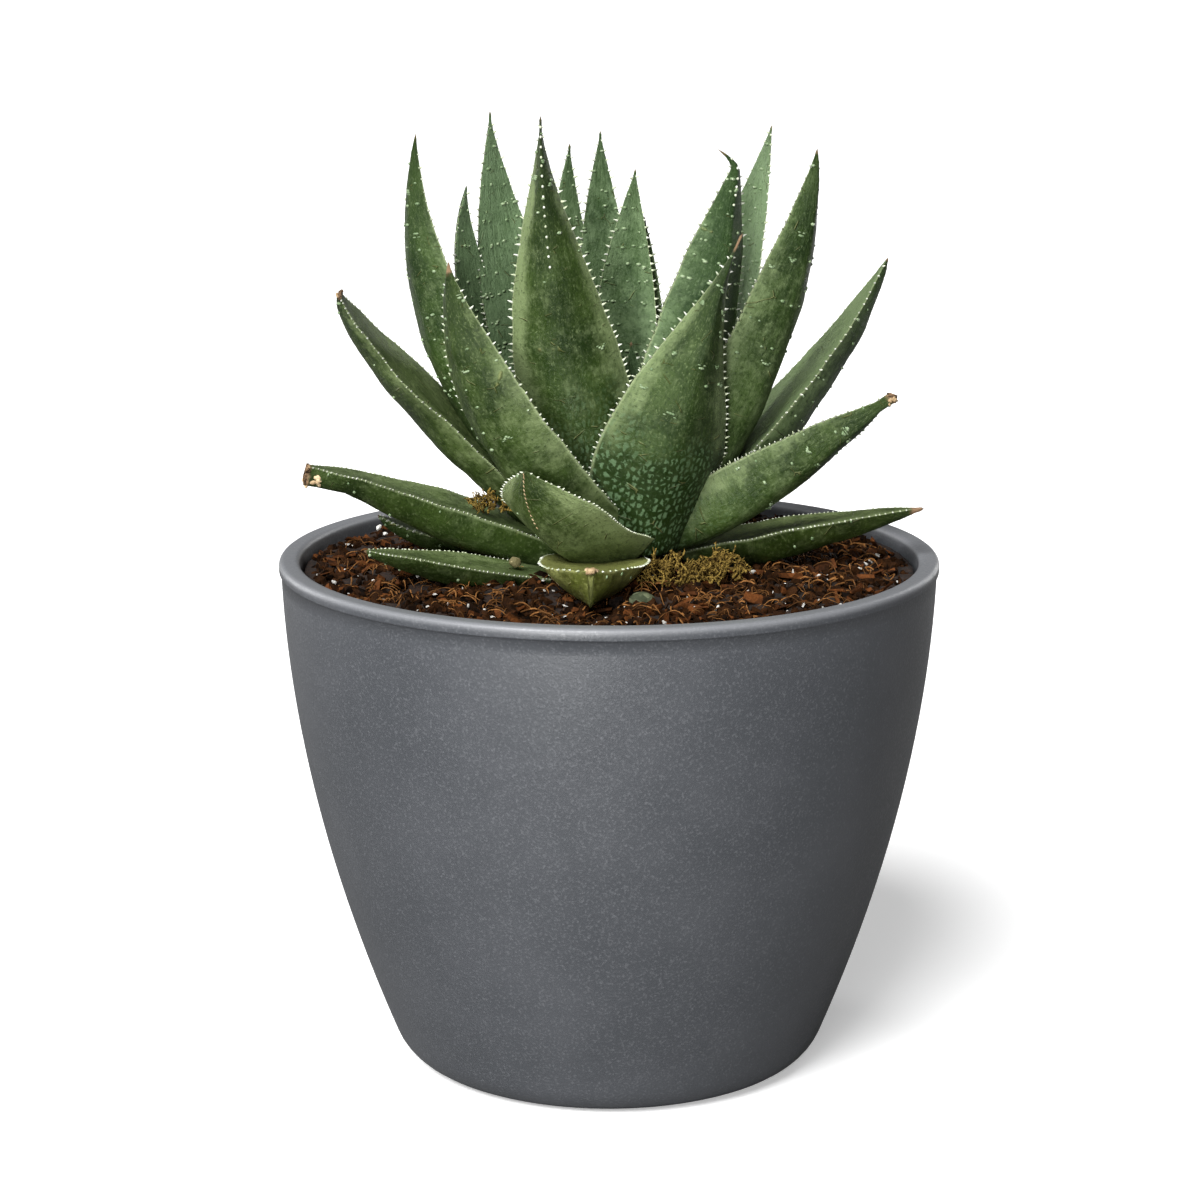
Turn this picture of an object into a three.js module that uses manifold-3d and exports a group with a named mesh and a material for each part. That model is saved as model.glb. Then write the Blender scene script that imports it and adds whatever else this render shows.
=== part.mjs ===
// Haworthia in a round planter: a rosette of thick, keeled leaves on a short stem, rooted in
// potting mix. Millimetres, +Z up, -Y is the front, and the origin is the centre of the pot's
// underside. The plant's own group stands at its crown, just below the top of the mix.
import * as THREE from 'three';
import { mergeVertices } from 'three/addons/utils/BufferGeometryUtils.js';
import Module from 'manifold-3d';

const wasm = await Module();
wasm.setup();

const CLEARANCE = 0.3; // gap between pieces that touch
const CUT_CLEARANCE = 0.45; // growth of a cutting copy, so that its slanted faces keep the gap too

// Pot
const RIM_RADIUS = 75;
const POT_HEIGHT = 117.4;
const WALL = 4.7;
const LIP_HEIGHT = 2.8;
const LIP_OVERHANG = 0.5;
const LIP_ROUNDING = 1.2;
const BELLY_INSET = 1.8;
const BELLY_HEIGHT = 73;
const WAIST_INSET = 13.3;
const WAIST_HEIGHT = 35;
const FOOT_RADIUS = 50.2;
const CORNER_HEIGHT = 6.2;
const CORNER_INSET = 2.5;
const FOOT_RING_INSET = 7.7; // from the foot's corner in to the ring
const FOOT_RING_OUTER = FOOT_RADIUS - FOOT_RING_INSET;
const FOOT_RING_WIDTH = 6.5;
const UNDERSIDE_RECESS = 1.8;
const FLOOR = 5;
const DRAIN_HOLE_RADIUS = 6;
const LATHE_SIDES = 40;
const CURVE_STEPS = 3;
const WALL_STEPS = 7;

// Potting mix
const MIX_BELOW_RIM = 2.6;
const MIX_MOUND = 0.6;
const MIX_HEIGHT = POT_HEIGHT - MIX_BELOW_RIM;

// Stem and roots
const CROWN = { x: 6, y: 3 };
const CROWN_BELOW_MIX = 3.8;
const STEM_RADIUS = 6;
const STEM_ABOVE_CROWN = 21;
const STEM_BELOW_CROWN = 20;
const ROOT_RADIUS = 1.5;
const ROOT_LENGTH = 44;
const ROOT_COUNT = 6;
const ROOT_DROP = 34;

// Leaves
const SECTION_SIDES = 8;
const STATIONS = 10;
const SHOULDER = 0.3; // share of the length where a leaf is widest, unless it says otherwise
const TAPER = 1.2; // how hollow the margins run to the tip, unless the leaf says otherwise
const BASE_SHARE = 0.8; // base width as a share of the full width
const TIP_HALF_WIDTH = 0.6;
const CUP = 0.12; // hollow of the upper face, as a share of the half width
const KEEL_POWER = 1.5; // 1 is a sharp keel, 2 a round back
const DEG = Math.PI / 180;

// Each leaf: three points of its centre line (x, y and height, from the crown),
// which are its base, the pull of its bow and its tip, the way that its back faces (degrees
// counter-clockwise from +X), its width and its depth. Optional: roll (twist about its length).
// Listed from the outer ring to the heart: an inner leaf is hollowed where an outer one lies.
const LEAVES = [
  { name: 'leaf_front_stub', base: [-8, -12, 8], bow: [-10, -30, 10], tip: [-10, -49, 12],
    facing: -94, width: 24, depth: 8, shoulder: 0.4, taper: 0.8 },
  { name: 'leaf_on_mix_left', base: [-17, -15, 4], bow: [-50, -24, 11], tip: [-60, -27, 12],
    facing: 190, width: 17, depth: 6 },
  { name: 'leaf_on_mix_right', base: [10, -3, 8], bow: [42, -6, 16], tip: [65, -9, 18],
    facing: -2, width: 17, depth: 8 },
  { name: 'leaf_low_left', base: [-10, -6, 8], bow: [-55, -6, 25], tip: [-74, -11, 28],
    facing: 183, width: 20, depth: 10, taper: 1 },
  { name: 'leaf_low_right', base: [6, -6, 13], bow: [30, -14, 26], tip: [57, -17, 45],
    facing: -15, width: 18, depth: 8, roll: -45, taper: 1 },
  { name: 'leaf_under_left', base: [-10, 1, 6], bow: [-51, 4, 9], tip: [-59, 3, 14],
    facing: 175, width: 13, depth: 6 },
  { name: 'leaf_back_low_left', base: [-5, 7, 4], bow: [-20, 28, 9], tip: [-31, 44, 22],
    facing: 125, width: 18, depth: 7 },
  { name: 'leaf_back_low_middle', base: [2, 9, 4], bow: [6, 34, 8], tip: [10, 54, 21],
    facing: 80, width: 19, depth: 7 },
  { name: 'leaf_back_low_right', base: [6, 7, 4], bow: [20, 24, 9], tip: [33, 40, 22],
    facing: 50, width: 17, depth: 7 },
  { name: 'leaf_front_short', base: [-3, -12, 12], bow: [-22, -29, 21], tip: [-24, -33, 31],
    facing: -125, width: 28, depth: 9, shoulder: 0.45, taper: 0.9 },
  { name: 'leaf_front_right_tall', base: [1, -9, 12], bow: [7, -26, 47], tip: [23, -19, 81],
    facing: -75, width: 30, depth: 9, shoulder: 0.25, taper: 2 },
  { name: 'leaf_front_left_tall', base: [-4, -8, 11], bow: [-38, -28, 43], tip: [-41, -21, 75],
    facing: -130, width: 25, depth: 8 },
  { name: 'leaf_slanted_left', base: [-10, -1, 9], bow: [-64, 1, 58], tip: [-66, -5, 66],
    facing: 170, width: 20, depth: 8 },
  { name: 'leaf_slanted_right', base: [6, 1, 12], bow: [43, 3, 49], tip: [57, 5, 73],
    facing: 10, width: 22, depth: 9 },
  { name: 'leaf_front_centre_tall', base: [-6, -4, 13], bow: [-21, -15, 64], tip: [-21, -15, 106],
    facing: -90, width: 26, depth: 8, shoulder: 0.25, taper: 1.6 },
  { name: 'leaf_tall_right', base: [4, -4, 12], bow: [35, -6, 63], tip: [40, -3, 98],
    facing: -40, width: 24, depth: 8 },
  { name: 'leaf_tall_left', base: [-8, 0, 12], bow: [-53, 2, 50], tip: [-49, 1, 101],
    facing: -140, width: 25, depth: 7 },
  { name: 'leaf_curled_right', base: [1, -1, 14], bow: [16, 2, 63], tip: [23, 1, 97],
    facing: -60, width: 23, depth: 7 },
  { name: 'leaf_back_right_tall', base: [2, 7, 10], bow: [22, 12, 61], tip: [31, 15, 102],
    facing: 50, width: 20, depth: 6 },
  { name: 'leaf_slim_left', base: [-8, 4, 11], bow: [-43, 8, 57], tip: [-38, 6, 89],
    facing: 140, width: 17, depth: 6 },
  { name: 'leaf_back_left_wide', base: [-7, 6, 10], bow: [-33, 16, 65], tip: [-33, 16, 105],
    facing: 125, width: 23, depth: 6, taper: 1.4 },
  { name: 'leaf_inner_back', base: [-3, 5, 14], bow: [-3, 12, 62], tip: [0, 14, 92],
    facing: 90, width: 16, depth: 6 },
  { name: 'leaf_back_slim_right', base: [1, 8, 11], bow: [5, 18, 57], tip: [2, 16, 81],
    facing: 87, width: 8, depth: 4 },
  { name: 'leaf_back_middle', base: [-3, 8, 10], bow: [-8, 20, 66], tip: [-8, 22, 100],
    facing: 95, width: 15, depth: 5 },
  { name: 'leaf_back_slim_left', base: [-5, 8, 10], bow: [-18, 24, 62], tip: [-15, 24, 97],
    facing: 100, width: 14, depth: 5 },
  { name: 'leaf_heart', base: [0, 1, 18], bow: [0, 1, 36], tip: [-1, 3, 54],
    facing: 100, width: 11, depth: 4 },
];

// What lies on the mix: centre from the pot's axis, height of the centre above the mix, half sizes
const MOSS = [
  { name: 'moss_clump_front', x: 13, y: -24, up: 2.7, size: [7, 5.5, 4.5] },
  { name: 'moss_clump_right', x: 24.6, y: -20, up: 2.9, size: [4.2, 4.5, 4.8] },
];
const PEBBLES = [
  { name: 'pebble_round', x: -21, y: -15, up: 3.6, size: [1.4, 1.4, 1.3] },
  { name: 'pebble_flat', x: 7, y: -38, up: 1.2, size: [3, 2.2, 1.8] },
];

const potMaterial = new THREE.MeshStandardMaterial({ color: 0x4b4d51, roughness: 0.62, metalness: 0 });
const mixMaterial = new THREE.MeshStandardMaterial({ color: 0x3a2519, roughness: 0.95, metalness: 0 });
const stemMaterial = new THREE.MeshStandardMaterial({ color: 0xb9a98a, roughness: 0.8, metalness: 0 });
const leafMaterial = new THREE.MeshStandardMaterial({ color: 0x64764f, roughness: 0.5, metalness: 0 });
const mossMaterial = new THREE.MeshStandardMaterial({ color: 0x7a6636, roughness: 0.95, metalness: 0 });
const pebbleMaterial = new THREE.MeshStandardMaterial({ color: 0x6f6f58, roughness: 0.8, metalness: 0 });

// Turns a closed three.js geometry into a solid that can be joined and cut
function solid(geometry) {
  const bare = geometry.clone();
  bare.deleteAttribute('normal');
  bare.deleteAttribute('uv');
  const merged = mergeVertices(bare);
  const corners = merged.index.array;
  const triangles = [];
  for (let i = 0; i < corners.length; i += 3) {
    const [a, b, c] = corners.slice(i, i + 3);
    if (a !== b && b !== c && c !== a) triangles.push(a, b, c);
  }
  return new wasm.Manifold(new wasm.Mesh({
    numProp: 3,
    vertProperties: new Float32Array(merged.attributes.position.array),
    triVerts: new Uint32Array(triangles),
  }));
}

function geometryOf(body) {
  const { vertProperties, triVerts } = body.getMesh();
  const geometry = new THREE.BufferGeometry();
  geometry.setAttribute('position', new THREE.BufferAttribute(vertProperties, 3));
  geometry.setIndex(new THREE.BufferAttribute(triVerts, 1));
  geometry.computeVertexNormals();
  return geometry;
}

// The largest body that is left after a cut
function largest(body) {
  const bodies = body.decompose();
  return bodies.reduce((best, next) => (next.volume() > best.volume() ? next : best));
}

function piece(name, geometry, material) {
  const mesh = new THREE.Mesh(geometry, material);
  mesh.name = name;
  return mesh;
}

// A body of revolution about Z; its profile runs counter-clockwise
function turned(points) {
  return new THREE.LatheGeometry(points, LATHE_SIDES).rotateX(Math.PI / 2);
}

// The wall's outer curve, from the top of the foot's rounded corner up to the lip
const wall = new THREE.CubicBezierCurve(
  new THREE.Vector2(FOOT_RADIUS, CORNER_HEIGHT),
  new THREE.Vector2(RIM_RADIUS - WAIST_INSET, WAIST_HEIGHT),
  new THREE.Vector2(RIM_RADIUS - BELLY_INSET, BELLY_HEIGHT),
  new THREE.Vector2(RIM_RADIUS - LIP_OVERHANG, POT_HEIGHT - LIP_HEIGHT),
);

// Points up the wall's curve, moved into the pot by an even distance
function wallPoints(inset) {
  const points = [];
  for (let i = 0; i <= WALL_STEPS; i++) {
    const point = wall.getPoint(i / WALL_STEPS);
    const up = wall.getTangent(i / WALL_STEPS);
    points.push(new THREE.Vector2(point.x - up.y * inset, point.y + up.x * inset));
  }
  return points;
}

function potGeometry() {
  const floorTop = UNDERSIDE_RECESS + FLOOR;
  const innerRim = RIM_RADIUS - WALL;
  const outline = new THREE.Path();
  outline.moveTo(FOOT_RING_OUTER - FOOT_RING_WIDTH, 0);
  outline.lineTo(FOOT_RING_OUTER, 0);
  outline.quadraticCurveTo(FOOT_RADIUS - CORNER_INSET, 0, FOOT_RADIUS, CORNER_HEIGHT);
  wallPoints(0).forEach((point) => outline.lineTo(point.x, point.y));
  outline.lineTo(RIM_RADIUS, POT_HEIGHT - LIP_HEIGHT);
  outline.lineTo(RIM_RADIUS, POT_HEIGHT - LIP_ROUNDING);
  outline.quadraticCurveTo(RIM_RADIUS, POT_HEIGHT, RIM_RADIUS - LIP_ROUNDING, POT_HEIGHT);
  outline.lineTo(innerRim + LIP_ROUNDING, POT_HEIGHT);
  outline.quadraticCurveTo(innerRim, POT_HEIGHT, innerRim, POT_HEIGHT - LIP_ROUNDING);
  wallPoints(WALL).reverse().forEach((point) => outline.lineTo(point.x, point.y));
  outline.lineTo(FOOT_RING_OUTER, floorTop);
  outline.lineTo(DRAIN_HOLE_RADIUS, floorTop);
  outline.lineTo(DRAIN_HOLE_RADIUS, UNDERSIDE_RECESS);
  outline.lineTo(FOOT_RING_OUTER - FOOT_RING_WIDTH, UNDERSIDE_RECESS);
  outline.lineTo(FOOT_RING_OUTER - FOOT_RING_WIDTH, 0);
  return turned(outline.getPoints(CURVE_STEPS));
}

function mixGeometry() {
  const bottom = UNDERSIDE_RECESS + FLOOR + CLEARANCE;
  const edge = RIM_RADIUS - LIP_OVERHANG - WALL - 2 * CLEARANCE;
  const below = wallPoints(WALL + CLEARANCE).filter((point) => point.y < MIX_HEIGHT - CLEARANCE);
  const outline = new THREE.Path();
  outline.moveTo(0, bottom);
  outline.lineTo(FOOT_RING_OUTER - CLEARANCE, bottom);
  below.forEach((point) => outline.lineTo(point.x, point.y));
  outline.lineTo(edge, MIX_HEIGHT);
  outline.quadraticCurveTo(edge / 2, MIX_HEIGHT + MIX_MOUND, 0, MIX_HEIGHT + MIX_MOUND);
  return turned(outline.getPoints(CURVE_STEPS));
}

// A root: a thin tube that leaves the stem's foot sideways and sinks into the mix
function rootGeometry(heading, grow) {
  const out = new THREE.Vector3(Math.cos(heading), Math.sin(heading), 0);
  const foot = new THREE.Vector3(0, 0, -STEM_BELOW_CROWN + 2 * ROOT_RADIUS);
  const end = foot.clone().addScaledVector(out, ROOT_LENGTH / 2);
  end.z -= ROOT_DROP;
  const middle = foot.clone().addScaledVector(out, ROOT_LENGTH / 3);
  const curve = new THREE.QuadraticBezierCurve3(foot, middle, end);
  const section = new THREE.Shape();
  section.absarc(0, 0, ROOT_RADIUS + grow, 0, 2 * Math.PI);
  return new THREE.ExtrudeGeometry(section, { extrudePath: curve, steps: 4, curveSegments: 3 });
}

function stemSolid(grow) {
  const height = STEM_BELOW_CROWN + STEM_ABOVE_CROWN + 2 * grow;
  const shaft = new THREE.CylinderGeometry(STEM_RADIUS + grow, STEM_RADIUS + grow, height, 12);
  shaft.rotateX(Math.PI / 2);
  shaft.translate(0, 0, (STEM_ABOVE_CROWN - STEM_BELOW_CROWN) / 2);
  let body = solid(shaft);
  for (let i = 0; i < ROOT_COUNT; i++) {
    body = body.add(solid(rootGeometry((i * 2 * Math.PI) / ROOT_COUNT, grow)));
  }
  return body;
}

// Share of the full width at a place along the leaf: widens to the shoulder, then tapers
function widthShare(leaf, along) {
  const { shoulder = SHOULDER, taper = TAPER } = leaf;
  if (along < shoulder) return BASE_SHARE + (1 - BASE_SHARE) * Math.sin((Math.PI / 2) * (along / shoulder));
  const past = (along - shoulder) / (1 - shoulder);
  return (1 - past) ** taper * (1 + taper * past);
}

function depthShare(along) {
  const past = Math.max(0, (along - SHOULDER) / (1 - SHOULDER));
  return (1 - past) * (1 + past / 2);
}

// The leaf's centre line: a point and three directions at each station, in the crown's frame
function leafSpine(leaf) {
  const { roll = 0 } = leaf;
  const points = [leaf.base, leaf.bow, leaf.tip].map((place) => new THREE.Vector3(...place));
  const curve = new THREE.QuadraticBezierCurve3(...points);
  const level = new THREE.Vector3(-Math.sin(leaf.facing * DEG), Math.cos(leaf.facing * DEG), 0);
  const spine = [];
  for (let i = 0; i <= STATIONS; i++) {
    const forward = curve.getTangent(i / STATIONS);
    const across = level.clone().addScaledVector(forward, -level.dot(forward)).normalize();
    across.applyAxisAngle(forward, roll * DEG);
    const inward = new THREE.Vector3().crossVectors(forward, across);
    spine.push({ point: curve.getPoint(i / STATIONS), forward, across, inward });
  }
  return spine;
}

// A closed cylinder bent along the spine, cupped above and keeled below. A grown copy, for
// cutting, is flat above and wider still, so that it clears the thin margins too.
function leafSolid(leaf, grow = 0) {
  const cup = grow > 0 ? 0 : CUP;
  const geometry = new THREE.CylinderGeometry(1, 1, 1, SECTION_SIDES, STATIONS);
  const spine = leafSpine(leaf);
  const place = geometry.attributes.position;
  const vertex = new THREE.Vector3();
  for (let i = 0; i < place.count; i++) {
    const side = -place.getX(i); // keeps the faces pointing out
    const top = place.getZ(i);
    const along = place.getY(i) + 0.5;
    const { point, forward, across, inward } = spine[Math.round(along * STATIONS)];
    const half = Math.max((leaf.width / 2) * widthShare(leaf, along), TIP_HALF_WIDTH);
    const depth = Math.min(leaf.depth * depthShare(along), half) + TIP_HALF_WIDTH / 2;
    const upper = -cup * half * (1 - side ** 2);
    const keel = -depth * (1 - Math.abs(side) ** KEEL_POWER);
    const isCentre = Math.hypot(side, top) < 0.5;
    const onEdge = Math.abs(top) < 0.01;
    let height = top > 0 ? upper + grow : keel - grow;
    if (onEdge) height = 0;
    if (isCentre) height = (upper + keel) / 2;
    const endGrow = along === 0 ? -grow : along === 1 ? grow : 0;
    vertex.copy(point).addScaledVector(across, side * (half + 2 * grow));
    vertex.addScaledVector(inward, height);
    vertex.addScaledVector(forward, endGrow);
    place.setXYZ(i, vertex.x, vertex.y, vertex.z);
  }
  return solid(geometry);
}

function lumpGeometry(size, grow) {
  const geometry = new THREE.SphereGeometry(1, 10, 7);
  geometry.rotateX(Math.PI / 2);
  return geometry.scale(size[0] + grow, size[1] + grow, size[2] + grow);
}

const haworthia = new THREE.Group();
const plant = new THREE.Group();
const crownHeight = MIX_HEIGHT - CROWN_BELOW_MIX;
plant.position.set(CROWN.x, CROWN.y, crownHeight);
haworthia.add(plant);

haworthia.add(piece('planter_pot', potGeometry(), potMaterial));

// Leaves, from the outer ring inwards, each clear of the stem and of the leaves before it
const stemCutter = stemSolid(CUT_CLEARANCE);
let plantCutter = stemCutter;
for (const leaf of LEAVES) {
  const body = largest(leafSolid(leaf).subtract(plantCutter));
  plant.add(piece(leaf.name, geometryOf(body), leafMaterial));
  plantCutter = plantCutter.add(leafSolid(leaf, CUT_CLEARANCE));
}
plant.add(piece('stem_with_roots', geometryOf(stemSolid(0)), stemMaterial));

// The mix is hollowed where the plant and the pebbles sit in it
const plantInPot = plantCutter.translate([CROWN.x, CROWN.y, crownHeight]);
let mix = solid(mixGeometry()).subtract(plantInPot);
for (const pebble of PEBBLES) {
  const hollow = solid(lumpGeometry(pebble.size, CUT_CLEARANCE));
  mix = mix.subtract(hollow.translate([pebble.x, pebble.y, MIX_HEIGHT + pebble.up]));
  const mesh = piece(pebble.name, lumpGeometry(pebble.size, 0), pebbleMaterial);
  mesh.position.set(pebble.x, pebble.y, MIX_HEIGHT + pebble.up);
  haworthia.add(mesh);
}
haworthia.add(piece('potting_mix', geometryOf(largest(mix)), mixMaterial));

// Moss rests on the mix, against the leaves
const mixCutter = solid(mixGeometry()).translate([0, 0, CUT_CLEARANCE]);
for (const clump of MOSS) {
  const place = [clump.x, clump.y, MIX_HEIGHT + clump.up];
  const lump = solid(lumpGeometry(clump.size, 0)).translate(place);
  const body = largest(lump.subtract(mixCutter).subtract(plantInPot));
  haworthia.add(piece(clump.name, geometryOf(body), mossMaterial));
}

export default haworthia;
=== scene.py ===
import math
import random

import bmesh
import bpy
from mathutils import Matrix, Vector, noise
from mathutils.geometry import interpolate_bezier


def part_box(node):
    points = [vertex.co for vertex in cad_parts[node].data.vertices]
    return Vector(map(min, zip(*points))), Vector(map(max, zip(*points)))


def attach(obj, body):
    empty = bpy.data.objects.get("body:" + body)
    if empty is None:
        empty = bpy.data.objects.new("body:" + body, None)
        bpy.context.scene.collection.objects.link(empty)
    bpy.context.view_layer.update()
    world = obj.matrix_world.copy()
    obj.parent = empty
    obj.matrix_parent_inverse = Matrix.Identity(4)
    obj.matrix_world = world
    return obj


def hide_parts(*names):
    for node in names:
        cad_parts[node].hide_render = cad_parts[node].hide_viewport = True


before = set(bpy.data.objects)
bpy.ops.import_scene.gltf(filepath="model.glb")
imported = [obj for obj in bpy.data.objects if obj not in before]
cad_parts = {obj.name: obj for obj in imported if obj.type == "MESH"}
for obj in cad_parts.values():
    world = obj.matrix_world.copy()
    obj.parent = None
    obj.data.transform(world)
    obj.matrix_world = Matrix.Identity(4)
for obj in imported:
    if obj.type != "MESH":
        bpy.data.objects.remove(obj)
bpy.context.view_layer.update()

mm = 0.001

# --- Planter ---------------------------------------------------------------------------------
# The pot is one moulded shell with an even wall, a thin lip that stands a hair proud of the
# wall, and a foot ring round a shallow recess with a drain hole. Matte anthracite all over,
# with a fine grain; the colour turns a little paler over the top of the rim.
rim_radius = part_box("planter_pot")[1].x / mm
pot_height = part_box("planter_pot")[1].z / mm
wall = 4.7
lip = 2.8


def curve_through(start, start_pull, end_pull, end, steps):
    points = interpolate_bezier(
        Vector((*start, 0)), Vector((*start_pull, 0)), Vector((*end_pull, 0)), Vector((*end, 0)), steps
    )
    return [(point.x, point.y) for point in points]


def rounded(start, corner, end, steps=7):
    pull = 0.6
    first = [a + (b - a) * pull for a, b in zip(start, corner)]
    last = [a + (b - a) * pull for a, b in zip(end, corner)]
    return curve_through(start, first, last, end, steps)


def turn_profile(outline, closed, steps=144):
    body = bmesh.new()
    ring = [body.verts.new((radius * mm, 0, height * mm)) for radius, height in outline]
    ends = ring[1:] + ring[:1] if closed else ring[1:]
    edges = [body.edges.new(pair) for pair in zip(ring, ends)]
    bmesh.ops.spin(
        body, geom=ring + edges, cent=(0, 0, 0), axis=(0, 0, 1),
        angle=2 * math.pi, steps=steps, use_merge=True,
    )
    bmesh.ops.remove_doubles(body, verts=body.verts, dist=0.001 * mm)
    bmesh.ops.recalc_face_normals(body, faces=body.faces)
    return body


def plain_material(name, color, roughness):
    material = bpy.data.materials.new(name)
    material.use_nodes = True
    shader = material.node_tree.nodes["Principled BSDF"]
    shader.inputs["Base Color"].default_value = (*color, 1)
    shader.inputs["Roughness"].default_value = roughness
    return material, shader


def add_node(material, kind, inputs=(), **settings):
    node = material.node_tree.nodes.new(kind)
    for setting, value in settings.items():
        setattr(node, setting, value)
    for socket, value in dict(inputs).items():
        if isinstance(value, bpy.types.NodeSocket):
            material.node_tree.links.new(value, node.inputs[socket])
        else:
            node.inputs[socket].default_value = value
    return node


def grain(material, coordinates, size, detail=3.0, roughness=0.5, offset=0.0):
    node = add_node(
        material, "ShaderNodeTexNoise",
        {"Vector": coordinates, "Scale": 1 / (size * mm), "Detail": detail, "Roughness": roughness},
        noise_dimensions="4D",
    )
    node.inputs["W"].default_value = offset
    return node.outputs[0]


def spread(material, value, low, high, bottom=0.0, top=1.0):
    node = add_node(
        material, "ShaderNodeMapRange",
        {"Value": value, "From Min": low, "From Max": high, "To Min": bottom, "To Max": top},
        interpolation_type="SMOOTHSTEP",
    )
    return node.outputs["Result"]


def maths(material, operation, first, second):
    node = add_node(material, "ShaderNodeMath", {0: first, 1: second}, operation=operation)
    return node.outputs[0]


def blend(material, amount, first, second, mode="MIX"):
    node = add_node(material, "ShaderNodeMix", {0: amount}, data_type="RGBA", blend_type=mode)
    for index, value in ((6, first), (7, second)):
        if isinstance(value, bpy.types.NodeSocket):
            material.node_tree.links.new(value, node.inputs[index])
        else:
            node.inputs[index].default_value = (*value, 1)
    return node.outputs[2]


def relief(material, shader, height, depth, strength):
    bump = {"Height": height, "Distance": depth * mm, "Strength": strength}
    node = add_node(material, "ShaderNodeBump", bump)
    material.node_tree.links.new(node.outputs["Normal"], shader.inputs["Normal"])


def wire(material, value, shader, socket):
    material.node_tree.links.new(value, shader.inputs[socket])


def place_piece(name, body, materials, node=None, smooth=True):
    mesh = bpy.data.meshes.new(name)
    body.to_mesh(mesh)
    body.free()
    for material in materials:
        mesh.materials.append(material)
    if smooth:
        mesh.shade_smooth()
    piece = bpy.data.objects.new(name, mesh)
    bpy.context.scene.collection.objects.link(piece)
    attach(piece, "root")
    if node:
        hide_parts(node)
    return piece


foot_ring = 42.5
foot_ring_width = 6.5
recess = 1.8
floor_thickness = 5
floor_top = recess + floor_thickness
drain_hole = 6
edge_round = 1.3
foot_edge = 47.7
foot_corner = (50.2, 6.2)
waist_pull = (61.7, 35)
belly_pull = (73.2, 73)
lip_overhang = 0.5
lip_fillet = 0.3
lip_underside = pot_height - lip + 0.1

wall_top = (rim_radius - lip_overhang, pot_height - lip)
outer_wall = curve_through(foot_corner, waist_pull, belly_pull, wall_top, 40)
inner_wall = []
for below, point, above in zip(outer_wall, outer_wall[1:], outer_wall[2:]):
    slope = Vector((above[0] - below[0], above[1] - below[1])).normalized()
    inner_wall.append((point[0] - slope.y * wall, point[1] + slope.x * wall))

inner_rim = rim_radius - wall
ring_inside = foot_ring - foot_ring_width
pot_outline = [(drain_hole, recess), (ring_inside, recess), (ring_inside, 0)]
pot_outline += rounded((foot_ring, 0), (foot_edge, 0), outer_wall[0], 9)[:-1]
pot_outline += outer_wall
pot_outline += rounded((rim_radius - lip_fillet, lip_underside), (rim_radius, lip_underside),
                       (rim_radius, pot_height - lip + 0.5), 4)
pot_outline += rounded((rim_radius, pot_height - edge_round), (rim_radius, pot_height),
                       (rim_radius - edge_round, pot_height))
pot_outline += rounded((inner_rim + edge_round, pot_height), (inner_rim, pot_height),
                       (inner_rim, pot_height - edge_round))
pot_outline += list(reversed(inner_wall))
pot_outline += [(foot_ring, floor_top), (drain_hole, floor_top)]

pot_clay, pot_shader = plain_material("matte_anthracite", (0.055, 0.058, 0.064), 0.5)
pot_place = add_node(pot_clay, "ShaderNodeTexCoord").outputs["Object"]
pot_height_at = add_node(pot_clay, "ShaderNodeSeparateXYZ", {0: pot_place}).outputs["Z"]
pot_cloud = grain(pot_clay, pot_place, 26, 4, 0.6)
pot_speck = grain(pot_clay, pot_place, 0.55, 2, 0.6, 4.0)
pot_cloudy = spread(pot_clay, pot_cloud, 0.35, 0.7)
pot_color = blend(pot_clay, pot_cloudy, (0.05, 0.054, 0.061), (0.063, 0.067, 0.075))
pot_color = blend(pot_clay, spread(pot_clay, pot_speck, 0.5, 0.72, 0, 0.75), pot_color, (0.105, 0.11, 0.12))
# Towards the top of the rim the colour is mixed to a paler grey.
rim_top_paler = spread(pot_clay, pot_height_at, (pot_height - 1.9) * mm, (pot_height - 0.3) * mm, 0, 0.7)
pot_color = blend(pot_clay, rim_top_paler, pot_color, (0.23, 0.236, 0.25))
wire(pot_clay, pot_color, pot_shader, "Base Color")
pot_shader.inputs["Specular IOR Level"].default_value = 0.7
wire(pot_clay, spread(pot_clay, pot_speck, 0.3, 0.7, 0.38, 0.54), pot_shader, "Roughness")
relief(pot_clay, pot_shader, pot_speck, 0.07, 0.9)

place_piece("planter_shell", turn_profile(pot_outline, True), [pot_clay], "planter_pot")

# --- Potting mix -----------------------------------------------------------------------------
# Damp bark and coir, filled by hand almost to the rim. The top is loose and
# lumpy: dark crumbs, flakes of red-brown bark, curls of coir and grains of white grit.
mix_below_rim = 2.6
mix_height = pot_height - mix_below_rim
mix_mound = 0.6
mix_gap = 0.3
mix_edge = inner_rim - 1.1
mix_seed = random.Random(7)


def mix_top(x, y):
    radius = min(math.hypot(x, y) / inner_rim, 1)
    place = Vector((x, y, 0))
    lumps = noise.noise(place / 7) * 0.9 + noise.noise(place / 2.6) * 0.55 + noise.noise(place / 1.1) * 0.25
    dip = 1.7 * math.exp(-(((x + 46) / 17) ** 2) - ((y + 27) / 9) ** 2)
    dip += 3 * math.exp(-(((x + 8) / 17) ** 2) - ((y + 44) / 11) ** 2)
    return mix_height - 0.7 - dip + mix_mound * (1 - radius**2) + lumps * min(1, 6 * (1 - radius) + 0.35)


mix_outline = [(0, floor_top + mix_gap), (foot_ring - mix_gap, floor_top + mix_gap)]
mix_outline += [(radius - mix_gap, height) for radius, height in inner_wall if height < mix_height - 3]
mix_outline += [(mix_edge, mix_height - 1.5)]
rings = 64
mix_outline += [(mix_edge * (1 - i / rings), mix_height) for i in range(rings + 1)]
mix_body = turn_profile(mix_outline, False, 216)
for vert in mix_body.verts:
    if vert.co.z > (mix_height - 0.1) * mm:
        vert.co.z = mix_top(vert.co.x / mm, vert.co.y / mm) * mm

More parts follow.
